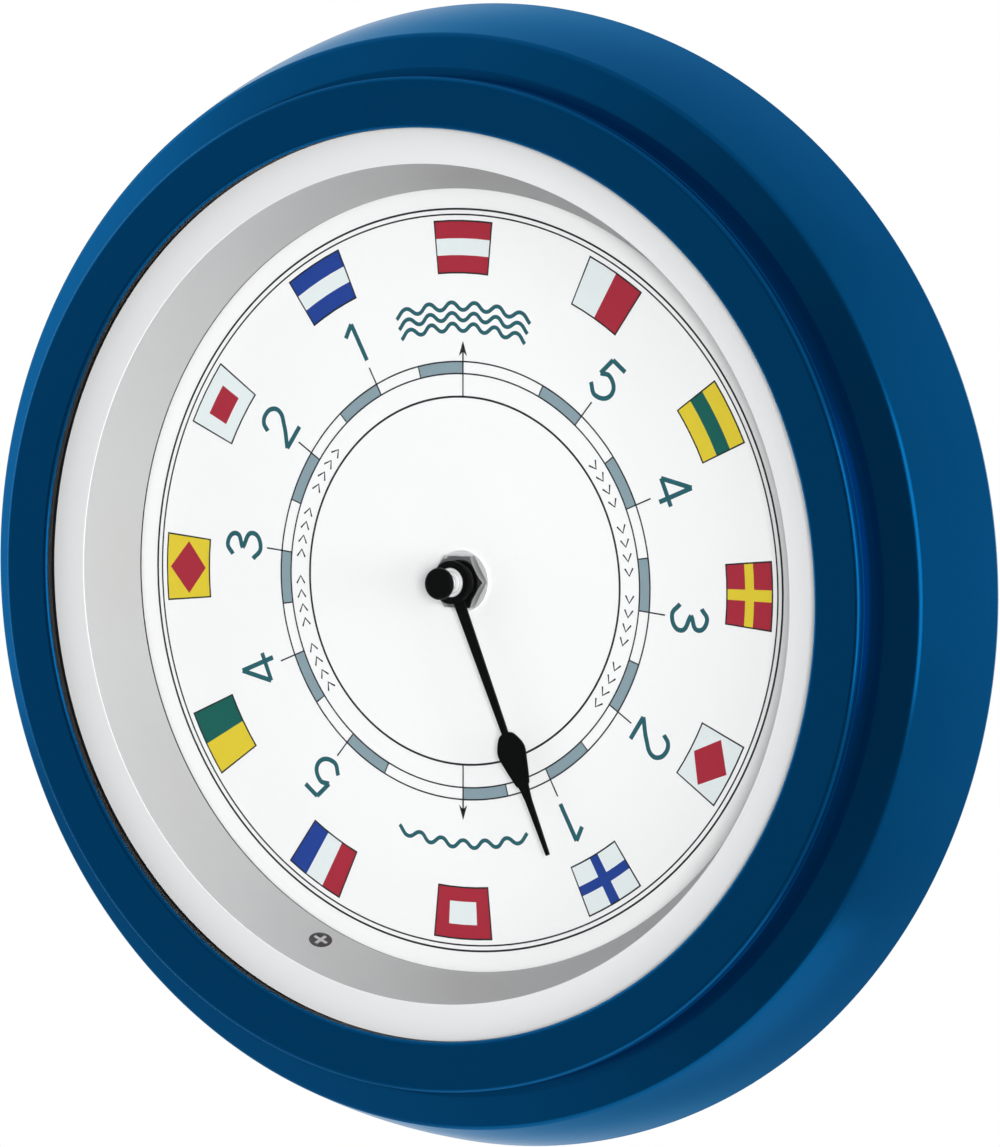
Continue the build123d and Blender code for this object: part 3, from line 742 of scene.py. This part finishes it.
blocks = []
for hour in range(6):
    for turn in (0, 180):
        finish = turn - hour * tide_hour
        block = bent_grid("half_hour", scale_inner, scale_outer, finish - tide_hour / 2, finish, 12)
        paint(block, block_ink)
        blocks.append(block)
        start = finish - tide_hour / 2
        blocks.append(ray_line("block_end", start, scale_inner, scale_outer, block_end_line))
print_on_dial("half_hour_blocks", blocks, ink_thick)


# Numerals and tide marks, drawn as round-pen strokes
def pen_stroke(name, runs, bold, finish):
    # Each run is (curved, points) on the dial paper.
    # The round stroke is pressed flat to the ink's thickness.
    curve = bpy.data.curves.new(name, "CURVE")
    curve.dimensions = "3D"
    curve.bevel_depth = bold / 2
    curve.bevel_resolution = 2
    curve.use_fill_caps = True
    curve.resolution_u = 10
    for curved, points in runs:
        spline = curve.splines.new("BEZIER")
        spline.bezier_points.add(len(points) - 1)
        for knot, (x, y) in zip(spline.bezier_points, points):
            knot.co = (x, y, 0)
            knot.handle_left_type = "AUTO" if curved else "VECTOR"
            knot.handle_right_type = "AUTO" if curved else "VECTOR"
    piece = bpy.data.objects.new(name, curve)
    bpy.context.collection.objects.link(piece)
    choose(piece)
    bpy.ops.object.convert(target="MESH")
    piece = bpy.context.active_object
    piece.data.transform(Matrix.Diagonal((1, 1, ink_thick / bold, 1)))
    bpy.ops.object.shade_flat()
    paint(piece, finish)
    return piece


numeral_runs = {
    1: [(False, [(0.06, 0.76), (0.32, 1.0)]), (False, [(0.32, 1.0), (0.32, 0.0)])],
    2: [
        (
            True,
            [
                (0.03, 0.72), (0.12, 0.93), (0.3, 1.0), (0.5, 0.9),
                (0.55, 0.7), (0.38, 0.4), (0.02, 0.0),
            ],
        ),
        (False, [(0.02, 0.0), (0.58, 0.0)]),
    ],
    3: [
        (True, [(0.05, 0.82), (0.27, 1.0), (0.5, 0.77), (0.22, 0.54)]),
        (True, [(0.22, 0.54), (0.56, 0.28), (0.28, 0.0), (0.02, 0.2)]),
    ],
    4: [
        (False, [(0.44, 0.0), (0.44, 1.0)]),
        (False, [(0.44, 1.0), (0.0, 0.27)]),
        (False, [(0.0, 0.27), (0.62, 0.27)]),
    ],
    5: [
        (False, [(0.52, 1.0), (0.14, 1.0)]),
        (False, [(0.14, 1.0), (0.08, 0.52)]),
        (True, [(0.08, 0.52), (0.3, 0.63), (0.56, 0.32), (0.28, 0.0), (0.02, 0.17)]),
    ],
}


def numeral(hour, degrees):
    # A numeral with its foot towards the dial centre
    angle = math.radians(degrees)
    runs = []
    for curved, points in numeral_runs[hour]:
        spots = []
        for x, y in points:
            across = (x - 0.3) * numeral_height * 1.06
            along = numeral_radius + (y - 0.5) * (numeral_height - numeral_bold)
            spots.append(
                (
                    across * math.cos(angle) + along * math.sin(angle),
                    along * math.cos(angle) - across * math.sin(angle),
                )
            )
        runs.append((curved, spots))
    return pen_stroke("numeral", runs, numeral_bold, numeral_ink)


def wave_row(degrees, radius, crests):
    # A row of wave crests along an arc of the dial
    points = []
    for step in range(2 * crests + 1):
        turn = degrees - wave_reach + 2 * wave_reach * step / (2 * crests)
        rise = wave_rise if step % 2 else -wave_rise
        points.append(clock_point(radius + rise, turn))
    return pen_stroke("wave", [(True, points)], wave_bold, numeral_ink)


def chevron(degrees):
    # A small mark that points the way the hand turns
    turn = math.degrees(chevron_half / chevron_radius) * 0.8
    points = [
        clock_point(chevron_radius - chevron_half, degrees - turn),
        clock_point(chevron_radius, degrees + turn),
        clock_point(chevron_radius + chevron_half, degrees - turn),
    ]
    return pen_stroke("chevron", [(False, points)], chevron_bold, line_ink)


numerals = []
for hour in range(1, 6):
    numerals.append(numeral(hour, -hour * tide_hour))
    numerals.append(numeral(hour, 180 - hour * tide_hour))
print_on_dial("hour_numerals", numerals, ink_thick / 2, thicken=False)
waves = [wave_row(0, wave_radius + wave_gap * row, wave_crests) for row in (-1, 0, 1)]
waves.append(wave_row(180, wave_radius, wave_crests))
print_on_dial("tide_waves", waves, ink_thick / 2, thicken=False)
chevrons = []
for side in chevron_sides:
    for group in range(4):
        for place in range(4):
            turn = (group - 1.5) * chevron_group_step + (place - 1.5) * chevron_step
            chevrons.append(chevron(side + turn))
print_on_dial("turn_chevrons", chevrons, ink_thick / 2, thicken=False)


# Signal-style flags round the edge of the dial
def flag_grid(name, degrees, columns, rows, pattern, finishes):
    # Columns and rows are the pattern's own lines; pattern gives a finish for each cell, row by row
    start = degrees - flag_spread / 2
    piece = bent_grid(name, flag_inner, flag_outer, start, start + flag_spread, 1, rows, columns)
    paint(piece, *finishes)
    for polygon in piece.data.polygons:
        x, y = polygon.center.x, polygon.center.y
        radius = math.hypot(x, y)
        turn = (math.degrees(math.atan2(x, y)) - start) % 360 / flag_spread
        lift = (radius - flag_inner) / (flag_outer - flag_inner)
        column = sum(1 for line in columns[1:-1] if turn > line)
        row = sum(1 for line in rows[1:-1] if lift > line)
        polygon.material_index = pattern[row][column]
    return piece


def flag_diamond(name, degrees, width, height, finish):
    clear_choice()
    bpy.ops.mesh.primitive_circle_add(vertices=4, radius=1, fill_type="NGON")
    piece = bpy.context.active_object
    piece.name = name
    middle = (flag_inner + flag_outer) / 2
    half_turn = flag_spread * width / 2
    half_rise = (flag_outer - flag_inner) * height / 2
    spots = [
        clock_point(middle + half_rise, degrees),
        clock_point(middle, degrees + half_turn),
        clock_point(middle - half_rise, degrees),
        clock_point(middle, degrees - half_turn),
    ]
    for vertex, (x, y) in zip(piece.data.vertices, spots):
        vertex.co = (x, y, 0)
    if piece.data.polygons[0].normal.z < 0:
        piece.data.flip_normals()
    paint(piece, finish)
    return piece


even = tuple(index / 4 for index in range(5))
thirds = (0, 1 / 3, 2 / 3, 1)
cross_lines = (0, 0.2, 0.41, 0.59, 0.8, 1)
border_lines = (0, 0.24, 0.5, 0.76, 1)
upright_halves = [[0, 0, 1, 1]]
upright_thirds = [[0, 1, 2]]
flat_bands = [[0, 0, 0, 0], [1, 1, 1, 1], [0, 0, 0, 0]]
plain_field = [[0, 0, 0, 0]]
cross = [[0, 0, 1, 0, 0], [1, 1, 1, 1, 1], [0, 0, 1, 0, 0]]
bordered = [[0, 0, 0, 0], [0, 1, 1, 0], [0, 0, 0, 0]]
flag_designs = [
    (even, thirds, flat_bands, (flag_red, flag_white)),
    (even, (0, 1), upright_halves, (flag_white, flag_red)),
    (even, thirds, flat_bands, (flag_yellow, flag_green)),
    (cross_lines, (0, 0.4, 0.6, 1), cross, (flag_red, flag_yellow)),
    (even, (0, 1), plain_field, (flag_white, flag_red)),
    (cross_lines, (0, 0.4, 0.6, 1), cross, (flag_white, flag_blue)),
    (border_lines, (0, 0.27, 0.73, 1), bordered, (flag_red, flag_white)),
    (thirds, (0, 1), upright_thirds, (flag_red, flag_white, flag_blue)),
    (even, (0, 1), upright_halves, (flag_yellow, flag_green)),
    (even, (0, 1), plain_field, (flag_yellow, flag_red)),
    (border_lines, (0, 0.27, 0.73, 1), bordered, (flag_white, flag_red)),
    (even, thirds, flat_bands, (flag_blue, flag_white)),
]
flag_fields = []
flag_marks = []
flag_rims = []
for place, (columns, rows, pattern, finishes) in enumerate(flag_designs):
    degrees = place * flag_step
    flag_fields.append(flag_grid("flag_field", degrees, columns, rows, pattern, finishes))
    rim_turn = math.degrees(flag_edge / flag_outer)
    rim = bent_grid(
        "flag_rim",
        flag_inner - flag_edge,
        flag_outer + flag_edge,
        degrees - flag_spread / 2 - rim_turn,
        degrees + flag_spread / 2 + rim_turn,
        4,
    )
    paint(rim, line_ink)
    flag_rims.append(rim)
    if pattern is plain_field:
        mark = flag_diamond("flag_mark", degrees, flag_mark_size, flag_mark_size, finishes[1])
        flag_marks.append(mark)
print_on_dial("flag_rims", flag_rims, ink_thick)
print_on_dial("flag_fields", flag_fields, ink_thick * 2)
print_on_dial("flag_marks", flag_marks, ink_thick * 3)


# Stage, camera and lights
def white_stage_material(name, tone):
    material, tree, shader = new_material(name)
    shader.inputs["Base Color"].default_value = (tone, tone, tone, 1)
    shader.inputs["Roughness"].default_value = 0.9
    shader.inputs["Specular IOR Level"].default_value = 0.0
    path = tree.nodes.new("ShaderNodeLightPath")
    seen = tree.nodes.new("ShaderNodeMath")
    seen.operation = "MAXIMUM"
    tree.links.new(path.outputs["Is Camera Ray"], seen.inputs[0])
    tree.links.new(path.outputs["Is Transmission Ray"], seen.inputs[1])
    seen_all = tree.nodes.new("ShaderNodeMath")
    seen_all.operation = "MAXIMUM"
    tree.links.new(seen.outputs[0], seen_all.inputs[0])
    tree.links.new(path.outputs["Is Glossy Ray"], seen_all.inputs[1])
    glow = tree.nodes.new("ShaderNodeEmission")
    glow.inputs["Color"].default_value = (1, 1, 1, 1)
    glow.inputs["Strength"].default_value = 1.0
    mix = tree.nodes.new("ShaderNodeMixShader")
    direct = tree.nodes.new("ShaderNodeMath")
    direct.operation = "LESS_THAN"
    direct.inputs[1].default_value = 0.5
    tree.links.new(path.outputs["Diffuse Depth"], direct.inputs[0])
    shown = tree.nodes.new("ShaderNodeMath")
    shown.operation = "MULTIPLY"
    tree.links.new(seen_all.outputs[0], shown.inputs[0])
    tree.links.new(direct.outputs[0], shown.inputs[1])
    tree.links.new(shown.outputs[0], mix.inputs["Fac"])
    tree.links.new(shader.outputs[0], mix.inputs[1])
    tree.links.new(glow.outputs[0], mix.inputs[2])
    tree.links.new(mix.outputs[0], tree.nodes["Material Output"].inputs["Surface"])
    return material


def stage_sheet(name, size, place, turn, material):
    clear_choice()
    bpy.ops.mesh.primitive_plane_add(size=size, location=place, rotation=turn)
    sheet = bpy.context.active_object
    sheet.name = name
    paint(sheet, material)
    return sheet


def toward_point(turn, rise, reach):
    # A point in metres from the clock, turned to the right of its front and raised, in degrees
    turn, rise = math.radians(turn), math.radians(rise)
    return Vector(
        (
            reach * math.sin(turn) * math.cos(rise),
            -reach * math.cos(turn) * math.cos(rise),
            reach * math.sin(rise),
        )
    )


stage_white = white_stage_material("stage_white", 0.85)
floor_size = 2.0
floor_level = -1.6
backdrop_size = 1.4
backdrop_reach = 2.06
stage_sheet("floor", floor_size, (0, 0, floor_level), (0, 0, 0), stage_white)
behind = -toward_point(math.degrees(camera_turn), math.degrees(camera_rise), backdrop_reach)
facing_clock = (-behind).to_track_quat("Z", "Y").to_euler()
stage_sheet("backdrop", backdrop_size, behind, facing_clock, stage_white)


def soft_box(name, turn, rise, reach, width, height, power, mirrored=True):
    # A lamp that is not mirrored lights the clock but leaves no glint on gloss
    place = toward_point(turn, rise, reach)
    clear_choice()
    bpy.ops.object.light_add(type="AREA", location=place)
    lamp = bpy.context.active_object
    lamp.name = name
    lamp.data.shape = "RECTANGLE"
    lamp.data.size = width
    lamp.data.size_y = height
    lamp.data.energy = power
    lamp.rotation_euler = (-place).to_track_quat("-Z", "Y").to_euler()
    lamp.visible_glossy = mirrored
    return lamp


soft_box(
    "key_box", turn=36, rise=4, reach=1.95,
    width=0.5, height=0.5, power=29.5, mirrored=False,
)
soft_box(
    "side_box", turn=78, rise=2, reach=1.5,
    width=0.5, height=0.5, power=9.0, mirrored=False,
)
soft_box(
    "right_box", turn=72, rise=4, reach=1.5,
    width=1.2, height=1.2, power=7.0,
)
soft_box(
    "left_box", turn=-80, rise=10, reach=1.4,
    width=0.9, height=1.2, power=2.5,
)

world = bpy.data.worlds.new("studio")
bpy.context.scene.world = world
world.use_nodes = True
studio = world.node_tree
studio_light = studio.nodes["Background"]
studio_light.inputs["Color"].default_value = (0.92, 0.96, 1.0, 1)
studio_place = studio.nodes.new("ShaderNodeTexCoord")
studio_axes = studio.nodes.new("ShaderNodeSeparateXYZ")
studio.links.new(studio_place.outputs["Generated"], studio_axes.inputs[0])


def studio_glow(source, low, high, most):
    # Light that grows with one direction of the room
    glow = studio.nodes.new("ShaderNodeMapRange")
    glow.inputs["From Min"].default_value = low
    glow.inputs["From Max"].default_value = high
    glow.inputs["To Max"].default_value = most
    studio.links.new(source, glow.inputs["Value"])
    return glow.outputs["Result"]


# Axis, where its glow starts, where it is full, and its strength
studio_base = 0.06
studio_level = None
for axis, low, high, most in (
    ("X", -0.15, -0.95, 0.55),
    ("X", 0.5, 0.95, 0.45),
    ("Y", 0.3, 0.8, 0.55),
    ("Z", 0.25, 0.9, 0.42),
    ("Z", -0.3, -0.9, 0.25),
):
    added = studio.nodes.new("ShaderNodeMath")
    added.inputs[1].default_value = studio_base
    studio.links.new(studio_glow(studio_axes.outputs[axis], low, high, most), added.inputs[0])
    if studio_level:
        studio.links.new(studio_level, added.inputs[1])
    studio_level = added.outputs[0]
studio.links.new(studio_level, studio_light.inputs["Strength"])

dial_centre = Vector((0, -dial_face * mm, 0))
toward = Vector(
    (
        math.sin(camera_turn) * math.cos(camera_rise),
        -math.cos(camera_turn) * math.cos(camera_rise),
        math.sin(camera_rise),
    )
)
right = Vector((math.cos(camera_turn), math.sin(camera_turn), 0))
up = toward.cross(right)
eye = dial_centre + toward * camera_reach * mm
aim_point = dial_centre + right * aim_right * mm + up * aim_up * mm
clear_choice()
bpy.ops.object.camera_add(location=eye)
camera = bpy.context.active_object
camera.name = "photo_camera"
camera.rotation_euler = (aim_point - eye).to_track_quat("-Z", "Y").to_euler()
camera.data.lens = camera_lens
camera.data.sensor_width = 36
camera.data.clip_end = 50
bpy.context.scene.camera = camera
bpy.context.scene.view_settings.view_transform = "Standard"
